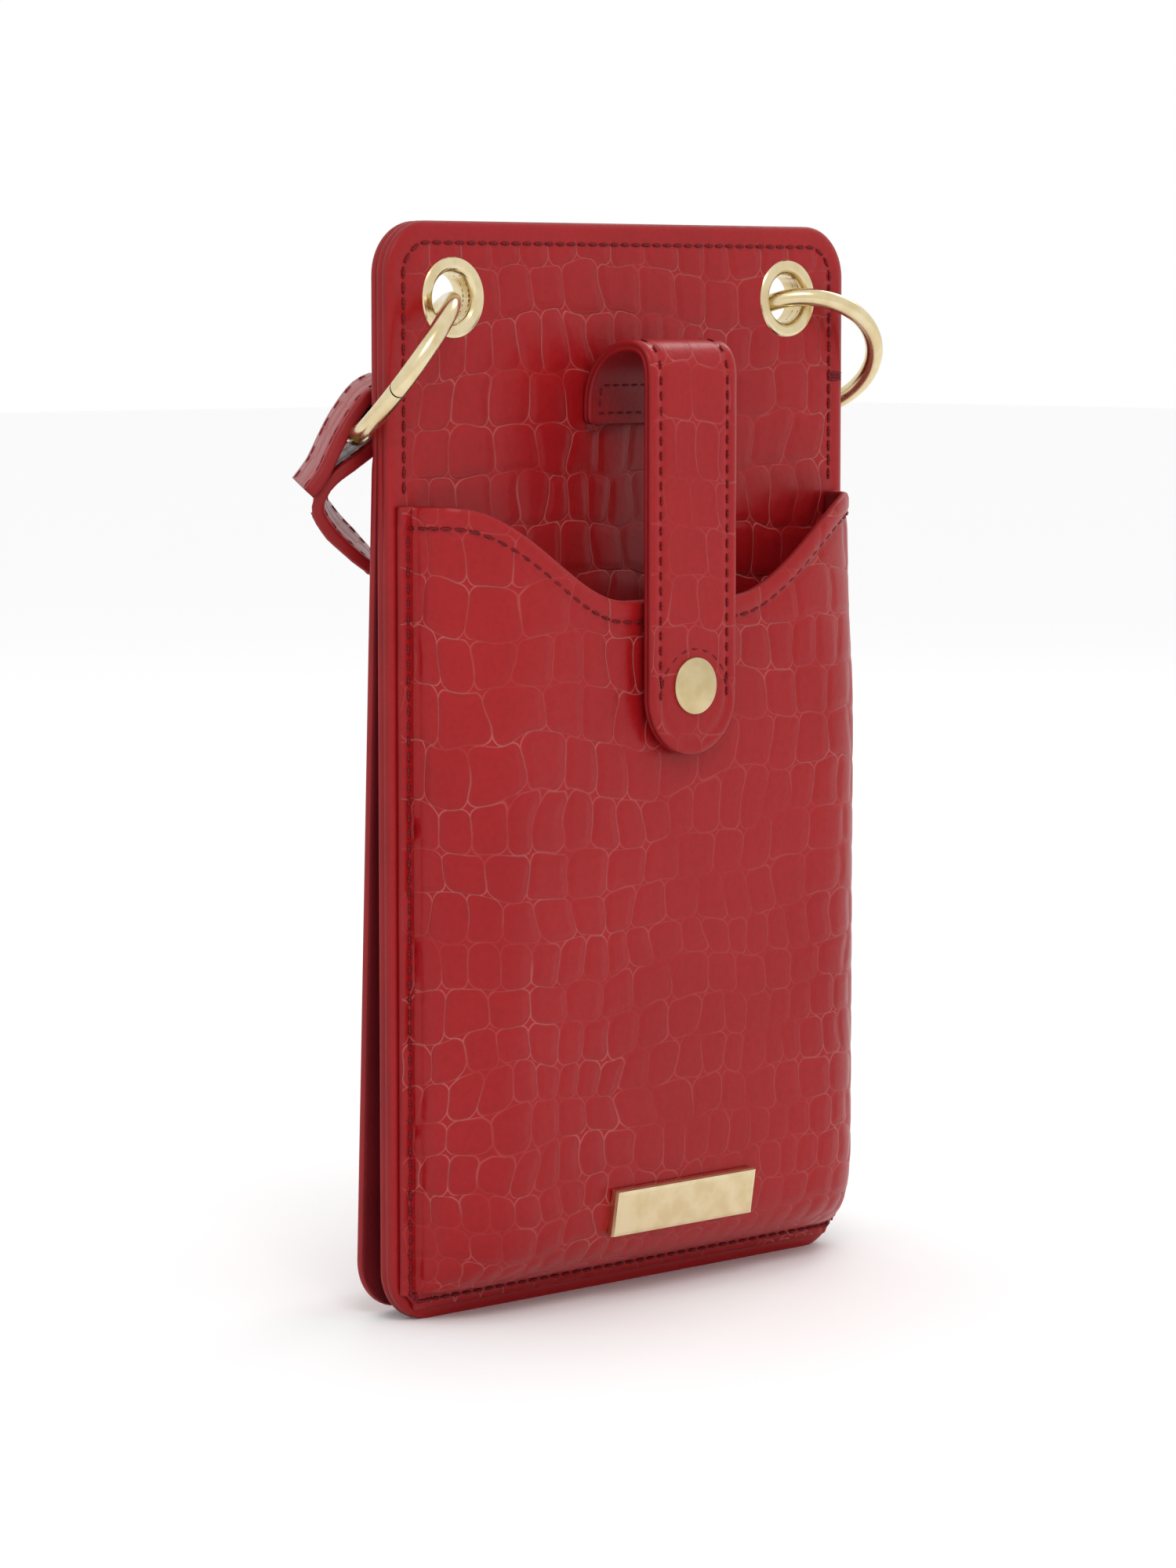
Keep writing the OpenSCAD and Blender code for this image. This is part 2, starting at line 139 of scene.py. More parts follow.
class Nodes:
    """A material's node tree, with short ways to add and join nodes."""

    def __init__(self, name):
        self.material = bpy.data.materials.new(name)
        self.material.use_nodes = True
        self.tree = self.material.node_tree
        self.shader = self.tree.nodes["Principled BSDF"]

    def put(self, socket, value):
        if isinstance(value, bpy.types.NodeSocket):
            self.tree.links.new(value, socket)
        else:
            socket.default_value = value

    def math(self, operation, *values):
        node = self.tree.nodes.new("ShaderNodeMath")
        node.operation = operation
        for socket, value in zip(node.inputs, values):
            self.put(socket, value)
        return node.outputs[0]

    def ramp(self, value, start, end, low_value=0.0, high_value=1.0, kind="SMOOTHSTEP"):
        node = self.tree.nodes.new("ShaderNodeMapRange")
        node.interpolation_type = kind
        for socket, given in zip(node.inputs, (value, start, end, low_value, high_value)):
            self.put(socket, given)
        return node.outputs[0]

    def mix(self, share, first, second):
        node = self.tree.nodes.new("ShaderNodeMix")
        node.data_type = "RGBA"
        self.put(node.inputs["Factor"], share)
        self.put(node.inputs[6], first)
        self.put(node.inputs[7], second)
        return node.outputs[2]

    def place(self):
        return self.tree.nodes.new("ShaderNodeTexCoord").outputs["Object"]

    def noise(self, scale, detail=2.0, roughness=0.5):
        node = self.tree.nodes.new("ShaderNodeTexNoise")
        node.inputs["Scale"].default_value = scale
        node.inputs["Detail"].default_value = detail
        node.inputs["Roughness"].default_value = roughness
        self.tree.links.new(self.place(), node.inputs["Vector"])
        return node.outputs["Fac"]

    def attribute(self, name):
        node = self.tree.nodes.new("ShaderNodeAttribute")
        node.attribute_name = name
        return node.outputs["Fac"]

    def uv(self, name):
        node = self.tree.nodes.new("ShaderNodeUVMap")
        node.uv_map = name
        split = self.tree.nodes.new("ShaderNodeSeparateXYZ")
        self.tree.links.new(node.outputs[0], split.inputs[0])
        return split.outputs[0], split.outputs[1]

    def bump(self, height, distance, strength=1.0):
        node = self.tree.nodes.new("ShaderNodeBump")
        node.inputs["Strength"].default_value = strength
        node.inputs["Distance"].default_value = distance
        self.tree.links.new(height, node.inputs["Height"])
        self.tree.links.new(node.outputs[0], self.shader.inputs["Normal"])

    def finish(self, **inputs):
        for name, value in inputs.items():
            self.put(self.shader.inputs[name.replace("_", " ")], value)
        return self.material


# Scales lie in rows. A row's number is the whole part of v, and u is the way across in millimetres.
ROW_JITTER = 4.1
ROW_SHIFT = 2.4
WIDTH_SWING = 0.2
SHIFT_SWING = 9.0
SCALE_CORNER = 1.9


class Scales:
    """The sizes of one hide's scales: the first row's width and height, and their growth per row."""

    def __init__(self, width, height, width_step=0.0, height_step=0.0):
        self.width, self.width_step = width, width_step
        self.height, self.height_step = height, height_step

    def row_at(self, up):
        """The row that a height reaches, where each row is a step taller than the one below it."""
        first, step = self.height, self.height_step
        return (math.sqrt(first * first + 2 * step * max(up, 0)) - first) / step

    def distance(self, u, v):
        """How far inside its scale a point lies, in millimetres; below zero in the grooves' corners."""
        row = math.floor(v)
        width = (self.width + self.width_step * row) * (1 + WIDTH_SWING * math.sin(row * ROW_JITTER))
        height = self.height + self.height_step * row
        p = (u + SHIFT_SWING * math.sin(row * ROW_SHIFT)) / width
        across = (0.5 - abs(p - math.floor(p) - 0.5)) * width
        up = (0.5 - abs(v - row - 0.5)) * height
        beyond = math.hypot(max(SCALE_CORNER - across, 0), max(SCALE_CORNER - up, 0))
        return SCALE_CORNER - beyond

    def distance_nodes(self, nodes, u, v):
        """The same distance, as nodes."""
        row = nodes.math("FLOOR", v)
        swing = nodes.math("SINE", nodes.math("MULTIPLY", row, ROW_JITTER))
        plain = nodes.math("MULTIPLY_ADD", row, self.width_step, self.width)
        width = nodes.math("MULTIPLY", plain, nodes.math("MULTIPLY_ADD", swing, WIDTH_SWING, 1.0))
        height = nodes.math("MULTIPLY_ADD", row, self.height_step, self.height)
        shift = nodes.math("SINE", nodes.math("MULTIPLY", row, ROW_SHIFT))
        p = nodes.math("DIVIDE", nodes.math("MULTIPLY_ADD", shift, SHIFT_SWING, u), width)
        sides = []
        for value, size in ((p, width), (v, height)):
            middle = nodes.math("ABSOLUTE", nodes.math("SUBTRACT", nodes.math("FRACT", value), 0.5))
            inside = nodes.math("MULTIPLY", nodes.math("SUBTRACT", 0.5, middle), size)
            over = nodes.math("MAXIMUM", nodes.math("SUBTRACT", SCALE_CORNER, inside), 0.0)
            sides.append(nodes.math("MULTIPLY", over, over))
        beyond = nodes.math("SQRT", nodes.math("ADD", sides[0], sides[1]))
        return nodes.math("SUBTRACT", SCALE_CORNER, beyond)


LEAF_SCALES = Scales(7.2, 9.0)
POCKET_SCALES = Scales(4.6, 5.0, 0.2, 0.22)
STRAP_SCALES = Scales(5.0, 5.5)

RED = (0.285, 0.005, 0.007, 1)
DEEP_RED = (0.15, 0.002, 0.004, 1)
BRIGHT_RED = (0.34, 0.009, 0.011, 1)
# Pale pink of the painted highlight along the scales' grooves.
GROOVE_HIGHLIGHT_PINK = (0.72, 0.22, 0.20, 1)


def scaled_leather(name, scales, tone=1.0):
    """Glossy red leather, pressed with rows of scales, with a pale pink painted highlight along the edges of their
    grooves.
    """
    nodes = Nodes(name)
    u, v = nodes.uv("scales")
    inside = scales.distance_nodes(nodes, u, v)
    press = nodes.attribute("press")
    patch = nodes.ramp(nodes.noise(85, 2), 0.38, 0.64, 0.12, 1.0)
    groove = nodes.math("MULTIPLY", nodes.ramp(inside, 0.0, 0.22, 1.0, 0.0), nodes.math("MULTIPLY", press, patch))
    dome = nodes.math("MULTIPLY", nodes.ramp(inside, 0.0, 1.9), press)
    grain = nodes.noise(2600, 3, 0.6)
    pores = nodes.noise(900, 2)
    cloud = nodes.noise(28, 3)
    red = tuple(channel * tone for channel in RED[:3]) + (1,)
    deep = tuple(channel * tone for channel in DEEP_RED[:3]) + (1,)
    bright = tuple(channel * tone for channel in BRIGHT_RED[:3]) + (1,)
    colour = nodes.mix(nodes.ramp(cloud, 0.3, 0.7, 0.0, 0.55), red, bright)
    colour = nodes.mix(nodes.ramp(pores, 0.35, 0.75, 0.0, 0.18), colour, deep)
    # Painted highlight: a thin pale pink line at each groove's edge, standing in for light caught by the grooves,
    # patchy and weaker where the leather is less pressed.
    painted_groove_highlight = nodes.math("MULTIPLY", nodes.ramp(inside, 0.05, 0.26, 1.0, 0.0), nodes.ramp(inside, -0.22, -0.02))
    painted_groove_highlight = nodes.math("MULTIPLY", painted_groove_highlight, nodes.math("MULTIPLY", press, nodes.math("MULTIPLY", patch, 0.34)))
    colour = nodes.mix(painted_groove_highlight, colour, GROOVE_HIGHLIGHT_PINK)
    
    height = nodes.math("MULTIPLY_ADD", groove, -1.0, nodes.math("MULTIPLY", dome, 0.5))
    height = nodes.math("MULTIPLY_ADD", grain, 0.10, nodes.math("MULTIPLY_ADD", pores, 0.16, height))
    nodes.bump(height, 0.00030, 0.9)
    rough = nodes.math("MULTIPLY_ADD", cloud, 0.14, nodes.math("MULTIPLY_ADD", groove, 0.15, 0.27))
    return nodes.finish(Base_Color=colour, Roughness=rough, Specular_IOR_Level=0.2, Coat_Weight=0.06,
                        Coat_Roughness=0.2)


def plain_leather(name, colour, dark, grain_scale, rough):
    nodes = Nodes(name)
    grain = nodes.noise(grain_scale, 4, 0.6)
    cloud = nodes.noise(60, 2)
    mixed = nodes.mix(nodes.ramp(cloud, 0.3, 0.7, 0.0, 0.6), colour, dark)
    nodes.bump(grain, 0.00012, 0.7)
    return nodes.finish(
        Base_Color=mixed, Roughness=nodes.math("MULTIPLY_ADD", grain, 0.2, rough), Specular_IOR_Level=0.25)


def twisted_thread():
    nodes = Nodes("stitching_thread")
    wave = nodes.tree.nodes.new("ShaderNodeTexWave")
    wave.bands_direction = "DIAGONAL"
    wave.inputs["Scale"].default_value = 900
    wave.inputs["Distortion"].default_value = 1.5
    nodes.tree.links.new(nodes.place(), wave.inputs["Vector"])
    strands = wave.outputs["Fac"]
    nodes.bump(strands, 0.00008, 0.8)
    colour = nodes.mix(strands, (0.085, 0.002, 0.004, 1), (0.19, 0.006, 0.010, 1))
    return nodes.finish(Base_Color=colour, Roughness=0.6, Specular_IOR_Level=0.2)


def plated_metal(name, colour, warm, rough):
    """Pale gold plating, a little uneven, with faint handling marks."""
    nodes = Nodes(name)
    cloud = nodes.noise(240, 3)
    marks = nodes.noise(3800, 4, 0.7)
    mixed = nodes.mix(nodes.ramp(cloud, 0.35, 0.7), colour, warm)
    nodes.bump(marks, 0.000012, 0.5)
    return nodes.finish(
        Base_Color=mixed, Metallic=1.0, Roughness=nodes.math("MULTIPLY_ADD", marks, 0.10, rough))


def fibre_board():
    nodes = Nodes("fibre_board")
    fibres = nodes.noise(1400, 5, 0.7)
    nodes.bump(fibres, 0.0001)
    return nodes.finish(Base_Color=nodes.mix(fibres, (0.30, 0.23, 0.15, 1), (0.52, 0.44, 0.32, 1)), Roughness=0.85)


LEAF_LEATHER = scaled_leather("embossed_leaf_leather", LEAF_SCALES)
POCKET_LEATHER = scaled_leather("embossed_pocket_leather", POCKET_SCALES)
STRAP_LEATHER = scaled_leather("embossed_strap_leather", STRAP_SCALES, 0.9)
EDGE_PAINT = plain_leather("painted_edge", (0.25, 0.008, 0.010, 1), (0.18, 0.004, 0.006, 1), 700, 0.36)
SMOOTH_LEATHER = plain_leather("smooth_leather", (0.27, 0.006, 0.009, 1), (0.18, 0.003, 0.006, 1), 1100, 0.34)
LINING = plain_leather("lining_leather", (0.17, 0.008, 0.012, 1), (0.11, 0.004, 0.007, 1), 1500, 0.5)
THREAD = twisted_thread()
GOLD = plated_metal("pale_gold_plating", (0.74, 0.63, 0.40, 1), (0.66, 0.53, 0.30, 1), 0.16)
SATIN_GOLD = plated_metal("satin_gold_plating", (0.62, 0.50, 0.29, 1), (0.54, 0.42, 0.22, 1), 0.26)
BOARD = fibre_board()

# ---------------------------------------------------------------- making pieces


def make_piece(name, bm, materials):
    """The bmesh, drawn in millimetres, becomes a smooth object in metres."""
    bmesh.ops.scale(bm, vec=(MM, MM, MM), verts=bm.verts)
    for face in bm.faces:
        face.smooth = True
    mesh = bpy.data.meshes.new(name)
    bm.to_mesh(mesh)
    bm.free()
    piece = bpy.data.objects.new(name, mesh)
    bpy.context.scene.collection.objects.link(piece)
    for material in materials:
        mesh.materials.append(material)
    return piece


def smooth(t):
    t = max(0.0, min(1.0, t))
    return t * t * (3 - 2 * t)


def rounded_box(u, v, half, bottom, top, bottom_r, top_r):
    """Signed distance to an upright rectangle with round corners, below zero inside."""
    middle = (bottom + top) / 2
    r = bottom_r if v < middle else top_r
    du = abs(u) - half + r
    dv = abs(v - middle) - (top - bottom) / 2 + r
    return math.hypot(max(du, 0), max(dv, 0)) + min(max(du, dv), 0) - r


def towards_edge(outline, u, v):
    """The outline's outward direction at a point."""
    step = 0.02
    du = outline(u + step, v) - outline(u - step, v)
    dv = outline(u, v + step) - outline(u, v - step)
    size = math.hypot(du, dv) or 1.0
    return du / size, dv / size


EDGE_STEPS = 8
EDGE_DROP = 0.28


def make_skin(name, outline, spans, pitch, thickness, relief, lay, hide, materials, lobes=1, bulge=0.3):
    """A leather panel, cut flat in (u, v) and then laid in place.

    outline(u, v) is the signed distance to the cut. relief(u, v, distance) lifts the face,
    lay(u, v, height) places a point, and hide(u, v) gives the way across, the row and the pressing.
    The materials are those of the face, the painted edge and the back.
    """
    u0, u1, v0, v1 = spans
    bm = bmesh.new()
    across, up = round((u1 - u0) / pitch), round((v1 - v0) / pitch)
    bmesh.ops.create_grid(bm, x_segments=across, y_segments=up, size=1.0)
    for vert in bm.verts:
        vert.co = (u0 + (vert.co.x + 1) / 2 * (u1 - u0), v0 + (vert.co.y + 1) / 2 * (v1 - v0), 0)
    away = {vert: outline(vert.co.x, vert.co.y) for vert in bm.verts}
    cut = [face for face in bm.faces if all(away[vert] > -0.15 * pitch for vert in face.verts)]
    bmesh.ops.delete(bm, geom=cut, context="FACES")
    bmesh.ops.delete(bm, geom=[vert for vert in bm.verts if not vert.link_faces], context="VERTS")
    rim = {vert for edge in bm.edges if edge.is_boundary for vert in edge.verts}
    rim |= {vert for vert in bm.verts if away[vert] > 0}
    for vert in rim:
        for _ in range(4):
            distance = outline(vert.co.x, vert.co.y)
            du, dv = towards_edge(outline, vert.co.x, vert.co.y)
            vert.co.x -= distance * du
            vert.co.y -= distance * dv
    bmesh.ops.remove_doubles(bm, verts=list(rim), dist=0.02 * pitch)

    front = list(bm.faces)
    edges = [edge for edge in bm.edges if edge.is_boundary]
    copied = bmesh.ops.duplicate(bm, geom=front)["geom"]
    back = [item for item in copied if isinstance(item, bmesh.types.BMFace)]
    for vert in {vert for face in back for vert in face.verts}:
        vert.co.z = -thickness
    for face in back:
        face.material_index = 2
    bmesh.ops.reverse_faces(bm, faces=back)
    for vert in {vert for face in front for vert in face.verts}:
        distance = outline(vert.co.x, vert.co.y)
        vert.co.z = relief(vert.co.x, vert.co.y, distance)
        near = min(1.0, max(0.0, 1 + distance / 1.0))
        vert.co.z -= EDGE_DROP * (1 - math.sqrt(1 - near * near))
    starts = {vert: vert.co.copy() for edge in edges for vert in edge.verts}
    for step in range(1, EDGE_STEPS + 1):
        grown = bmesh.ops.extrude_edge_only(bm, edges=edges)["geom"]
        edges = [item for item in grown if isinstance(item, bmesh.types.BMEdge)]
        t = step / EDGE_STEPS
        moved = {}
        for vert in {vert for edge in edges for vert in edge.verts}:
            place = next(edge.other_vert(vert) for edge in vert.link_edges if edge.other_vert(vert) in starts)
            moved[vert] = starts[place]
            start = starts[place]
            du, dv = towards_edge(outline, start.x, start.y)
            out = bulge * abs(math.sin(math.pi * lobes * t)) ** 0.6 if step < EDGE_STEPS else 0.0
            vert.co = (start.x + out * du, start.y + out * dv, start.z + (-thickness - start.z) * t)
        starts = moved
        for edge in edges:
            for face in edge.link_faces:
                face.material_index = 1
    bmesh.ops.remove_doubles(bm, verts=bm.verts, dist=0.002)

    scales = bm.loops.layers.uv.new("scales")
    press = bm.verts.layers.float.new("press")
    for vert in bm.verts:
        way, row, pressing = hide(vert.co.x, vert.co.y)
        vert[press] = pressing
        for loop in vert.link_loops:
            loop[scales].uv = (way, row)
    for vert in bm.verts:
        vert.co = lay(*vert.co)
    bmesh.ops.recalc_face_normals(bm, faces=bm.faces)
    return make_piece(name, bm, materials)


def warped(u, v, amount, seed):
    """Points drift a little, so that rows of scales aren't ruled lines."""
    drift = noise.noise_vector(Vector((u / 26, v / 26, seed))) * amount
    wobble = noise.noise_vector(Vector((u / 7, v / 7, seed + 50))) * 1.3
    return u + drift.x + wobble.x, v + drift.y + wobble.y


STITCH_L = 2.1
STITCH_PITCH = 2.6
STITCH_R = 0.33


def make_stitches(name, rows, length=STITCH_L, radius=STITCH_R):
    """Rows of (point, direction, normal) stitches, each a thread that dips in at both ends."""
    bm = bmesh.new()
    stitches = [bmesh.ops.create_uvsphere(bm, u_segments=8, v_segments=6, radius=1.0)["verts"]]
    while len(stitches) < len(rows):
        everything = list(bm.verts) + list(bm.edges) + list(bm.faces)
        copies = bmesh.ops.duplicate(bm, geom=everything)["vert_map"]
        stitches += [[copies[vert] for vert in stitch] for stitch in stitches]
    spare = [vert for stitch in stitches[len(rows):] for vert in stitch]
    bmesh.ops.delete(bm, geom=spare, context="VERTS")
    for stitch, (point, direction, normal) in zip(stitches, rows):
        direction = direction.normalized()
        side = normal.cross(direction).normalized()
        lift = direction.cross(side)
        for vert in stitch:
            x, y, z = vert.co
            vert.co = point + direction * (z * length / 2) + side * (x * radius) + lift * (y * radius * 0.8)
    return make_piece(name, bm, [THREAD])


def along(points, pitch):
    """Places a pitch apart along a line of points: (place, direction) pairs, from its start to its end."""
    total = sum((b - a).length for a, b in zip(points, points[1:]))
    count = max(1, round(total / pitch))
    step, due, walked, found = total / count, total / count / 2, 0.0, []
    for a, b in zip(points, points[1:]):
        size = (b - a).length
        while size > 0 and due <= walked + size + 1e-9 and len(found) < count:
            found.append((a.lerp(b, (due - walked) / size), (b - a) / size))
            due += step
        walked += size
    return found


def arc(cu, cv, r, start, end, steps=12):
    """Flat points along an arc, with its angles in degrees."""
    angles = [math.radians(start + (end - start) * i / steps) for i in range(steps + 1)]
    return [Vector((cu + r * math.cos(a), cv + r * math.sin(a), 0)) for a in angles]


def sewn(line, lay, sink=0.05, pitch=STITCH_PITCH):
    """Stitches along a flat line on a laid panel, as rows for make_stitches."""
    rows = []
    for place, way in along(line, pitch):
        point = Vector(lay(place.x, place.y, -sink))
        ahead = Vector(lay(place.x + way.x * 0.2, place.y + way.y * 0.2, -sink))
        above = Vector(lay(place.x, place.y, 0.3))
        rows.append((point, ahead - point, above - point))
    return rows


def rounded_line(inset, half, bottom, top, r):
    """A closed line inside a rounded rectangle, from its lower left corner round to it again."""
    h, b, t, c = half - inset, bottom + inset, top - inset, r - inset
    line = arc(-h + c, b + c, c, 180, 270) + arc(h - c, b + c, c, 270, 360)
    line += arc(h - c, t - c, c, 0, 90) + arc(-h + c, t - c, c, 90, 180)
    return line + line[:1]


# ---------------------------------------------------------------- strap

ROLL = (low("strap_roll") + high("strap_roll")) / 2
ROLL_R = ROLL.z
ROLL_HALF = (high("strap_roll").x - low("strap_roll").x) / 2 - ROLL_R
LAYER = STRAP_T + 0.1
OUTER_R = ROLL_R - STRAP_T / 2
ROLL_TURNS = 2.06
LEFT_ENTRY = 0.15
RIGHT_ENTRY = -0.2

# Each strap end is folded round its ring's wire and sewn. The points are (place, way across the strap).
LEFT_END = [
    [(-62.6, 12.0, 143.2), (0.5, 0.85, 0.12)], [(-59.6, 11.6, 146.6), (0.5, 0.85, 0.12)],
    [(-57.6, 11.4, 150.0), (0.5, 0.85, 0.12)], [(-54.6, 11.2, 154.6), (0.5, 0.85, 0.12)],
    [(-50.0, 11.2, 159.2), (0.5, 0.85, 0.12)], [(-45.2, 11.4, 160.6), (0.5, 0.85, 0.12)],
    [(-42.6, 11.6, 157.6), (0.5, 0.85, 0.12)], [(-44.2, 11.6, 153.6), (0.5, 0.85, 0.12)],
    [(-48.6, 11.6, 150.6), (0.5, 0.85, 0.12)], [(-53.4, 11.8, 147.8), (0.5, 0.85, 0.12)],
    [(-57.0, 12.2, 145.2), (0.55, 0.83, 0.1)], [(-58.4, 12.8, 142.2), (0.6, 0.8, 0.05)],
]
LEFT_LEAD = [
    [(-56.8, 13.4, 138.8), (0.75, 0.66, 0)], [(-52.8, 13.8, 135.0), (0.8, 0.6, 0)],
    [(-47.4, 14.4, 131.0), (0.75, 0.66, 0)], [(-42.4, 15.6, 127.2), (0.6, 0.8, 0)],
    [(-38.5, 16.5, 121), (0.3, 0.95, 0)], [(-36, 17, 110), (0.1, 1, 0)], [(-35, 17, 94), (0, 1, 0)],
    [(-34.5, 17, 76), (0, 1, 0)], [(-33.5, 17, 56), (0, 1, 0)], [(-31.4, 17, 38), (0, 1, 0)],
    [(-29.4, 17, 26), (0, 1, 0)],
]
RIGHT_LEAD = [
    [(44, 17, 28.0), (0, 1, 0)], [(50, 17, 31.2), (0, 1, 0)], [(55, 17, 39), (0, 1, 0)],
    [(57.6, 17, 50), (0, 1, 0)], [(58.3, 17, 64), (0, 1, 0)], [(57, 17, 80), (0, 1, 0)],
    [(55, 17, 96), (0, 1, 0)], [(52.6, 17, 110), (-0.2, 0.98, 0)], [(50.6, 17, 122), (-0.5, 0.87, 0)],
    [(49.4, 17, 132), (-0.8, 0.6, 0)],
]
RIGHT_END = [
    [(50.7, 16, 139.5), (-0.88, 0.4, 0.25)], [(50.2, 14.6, 143.9), (-0.88, 0.4, 0.25)],
    [(50.4, 10.8, 148.7), (-0.88, 0.4, 0.25)], [(51.6, 8.8, 153.5), (-0.88, 0.4, 0.25)],
    [(53.2, 10.4, 158.1), (-0.88, 0.4, 0.25)], [(54.2, 14.2, 159.7), (-0.88, 0.4, 0.25)],
    [(54.4, 17.6, 157.1), (-0.88, 0.4, 0.25)], [(53.2, 18.8, 151.9), (-0.88, 0.4, 0.25)],
    [(52, 17.8, 145.9), (-0.88, 0.4, 0.25)], [(51.6, 17.4, 141.9), (-0.88, 0.4, 0.25)],
    [(51.6, 18.2, 137.9), (-0.88, 0.4, 0.25)],
]
ARC_SHARE = 0.3
STRAIGHT_SHARE = 0.2


def racetrack(p, r):
    """A place on the roll: p counts turns from the top of the left end, going down it, r is the layer's radius."""
    turn = p - math.floor(p)
    if turn < ARC_SHARE:
        x, angle = -ROLL_HALF, 90 + 180 * turn / ARC_SHARE
    elif turn < ARC_SHARE + STRAIGHT_SHARE:
        return Vector((ROLL.x - ROLL_HALF + 2 * ROLL_HALF * (turn - ARC_SHARE) / STRAIGHT_SHARE, ROLL.y, ROLL_R - r))
    elif turn < 2 * ARC_SHARE + STRAIGHT_SHARE:
        x, angle = ROLL_HALF, -90 + 180 * (turn - ARC_SHARE - STRAIGHT_SHARE) / ARC_SHARE
    else:
        done = (turn - 2 * ARC_SHARE - STRAIGHT_SHARE) / STRAIGHT_SHARE
        return Vector((ROLL.x + ROLL_HALF - 2 * ROLL_HALF * done, ROLL.y, ROLL_R + r))
    a = math.radians(angle)
    return Vector((ROLL.x + x + r * math.cos(a), ROLL.y, ROLL_R + r * math.sin(a)))


def coil(start, end, outer):
    """One layer of the roll, from one count of turns to another, two layers closer in at each turn."""
    steps = round(abs(end - start) * 72)
    found = []
    for i in range(steps + 1):
        p = start + (end - start) * i / steps
        found.append([racetrack(p, outer - 2 * LAYER * (p - LEFT_ENTRY)), Vector((0, 1, 0))])
    return found


def softened(stations, spacing):
    """Stations along a smooth curve through given ones, a spacing apart."""
    points = [(Vector(place), Vector(across)) for place, across in stations]
    found = []
    for i in range(len(points) - 1):
        (b, across_b), (c, across_c) = points[i], points[i + 1]
        a, d = points[max(i - 1, 0)][0], points[min(i + 2, len(points) - 1)][0]
        count = max(1, round((c - b).length / spacing))
        for k in range(count):
            t = k / count
            place = (b * 2 + (c - a) * t + (a * 2 - b * 5 + c * 4 - d) * t * t
                     + (b * 3 - a - c * 3 + d) * t ** 3) / 2
            found.append([place, across_b.lerp(across_c, t).normalized()])
    return found + [[points[-1][0], points[-1][1].normalized()]]


def strap_stations():
    inner = coil(LEFT_ENTRY, ROLL_TURNS, OUTER_R)
    outer = coil(RIGHT_ENTRY, ROLL_TURNS, OUTER_R - LAYER)
    left = softened(LEFT_END + LEFT_LEAD + [inner[0]], 1.6)[:-1]
    right = softened([outer[0]] + RIGHT_LEAD[1:] + RIGHT_END, 1.6)[1:]
    middle = (inner[-1][0] + outer[-1][0]) / 2
    ahead = (inner[-1][0] - inner[-2][0]).normalized() * LAYER / 2
    return left + inner + [[middle + ahead, Vector((0, 1, 0))]] + outer[::-1] + right


STRAP_SECTION = [(-1, -0.25), (-0.985, -0.38), (-0.94, -0.5), (-0.5, -0.5), (0, -0.5), (0.5, -0.5),
                 (0.94, -0.5), (0.985, -0.38), (1, -0.25), (1, 0.25), (0.985, 0.38), (0.94, 0.5),
                 (0.5, 0.5), (0, 0.5), (-0.5, 0.5), (-0.94, 0.5), (-0.985, 0.38), (-1, 0.25)]
EDGE_SIDES = (0, 1, 6, 7, 8, 9, 10, 15, 16, 17)


def framed(stations):
    """Each station's place, unit way across and unit way out of the strap's face."""
    found = []
    for i, (place, across) in enumerate(stations):
        way = stations[min(i + 1, len(stations) - 1)][0] - stations[max(i - 1, 0)][0]
        out = way.cross(across).normalized()
        found.append((place, across.normalized(), out))
    return found


def sweep(name, frames, size, materials, closed=False):
    """The strap's section swept from frame to frame. size is its half width and its thickness.

    A grid is rolled into a tube: its columns go round the section and its rows go along the frames.
    """
    bm = bmesh.new()
    around, last = len(STRAP_SECTION), len(frames) - 1
    bmesh.ops.create_grid(bm, x_segments=around, y_segments=last, size=1.0)
    for face in bm.faces:
        column = min(round((vert.co.x + 1) / 2 * around) for vert in face.verts)
        face.material_index = 1 if column in EDGE_SIDES else 0
    ways = [0.0]
    for before, here in zip(frames, frames[1:]):
        ways.append(ways[-1] + (here[0] - before[0]).length)
    scales = bm.loops.layers.uv.new("scales")
    press = bm.verts.layers.float.new("press")
    for vert in bm.verts:
        across_section = STRAP_SECTION[round((vert.co.x + 1) / 2 * around) % around]
        row = round((vert.co.y + 1) / 2 * last)
        place, across, out = frames[row]
        vert.co = place + across * (across_section[0] * size[0]) + out * (across_section[1] * size[1])
        vert[press] = 0.7
        for loop in vert.link_loops:
            loop[scales].uv = (across_section[0] * size[0] + 60, ways[row] / STRAP_SCALES.height + 2)
    bmesh.ops.remove_doubles(bm, verts=bm.verts, dist=0.001)
    if not closed:
        bmesh.ops.holes_fill(bm, edges=[edge for edge in bm.edges if edge.is_boundary], sides=0)
    bmesh.ops.recalc_face_normals(bm, faces=bm.faces)
    return make_piece(name, bm, materials)


STRAP_SEAM = 1.9
STRAP_PITCH = 3.1


def make_strap():
    stations = strap_stations()
    frames = framed(stations)
    strap = sweep("strap", frames, (STRAP_W / 2, STRAP_T), [STRAP_LEATHER, EDGE_PAINT])
    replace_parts(strap, "strap_end_left", "strap_end_right", "strap_lead_left", "strap_lead_right", "strap_roll")
    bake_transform(strap)
    rows = []
    for side in (-1, 1):
        for face in (-1, 1):
            due, walked = STRAP_PITCH / 2, 0.0
            for (place, across, out), (after, _, _) in zip(frames[:-2], frames[1:]):
                walked += (after - place).length
                if walked >= due:
                    seat = place + across * (side * (STRAP_W / 2 - STRAP_SEAM)) + out * (face * STRAP_T / 2)
                    rows.append((seat, after - place, out * face))
                    due += STRAP_PITCH
    thread = make_stitches("strap_stitches", rows, 1.9, 0.2)
    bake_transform(thread)


TIE_HALF = (high("strap_tie").x - low("strap_tie").x) / 2
TIE_T = 1.1
TIE_ROUND = 2.0


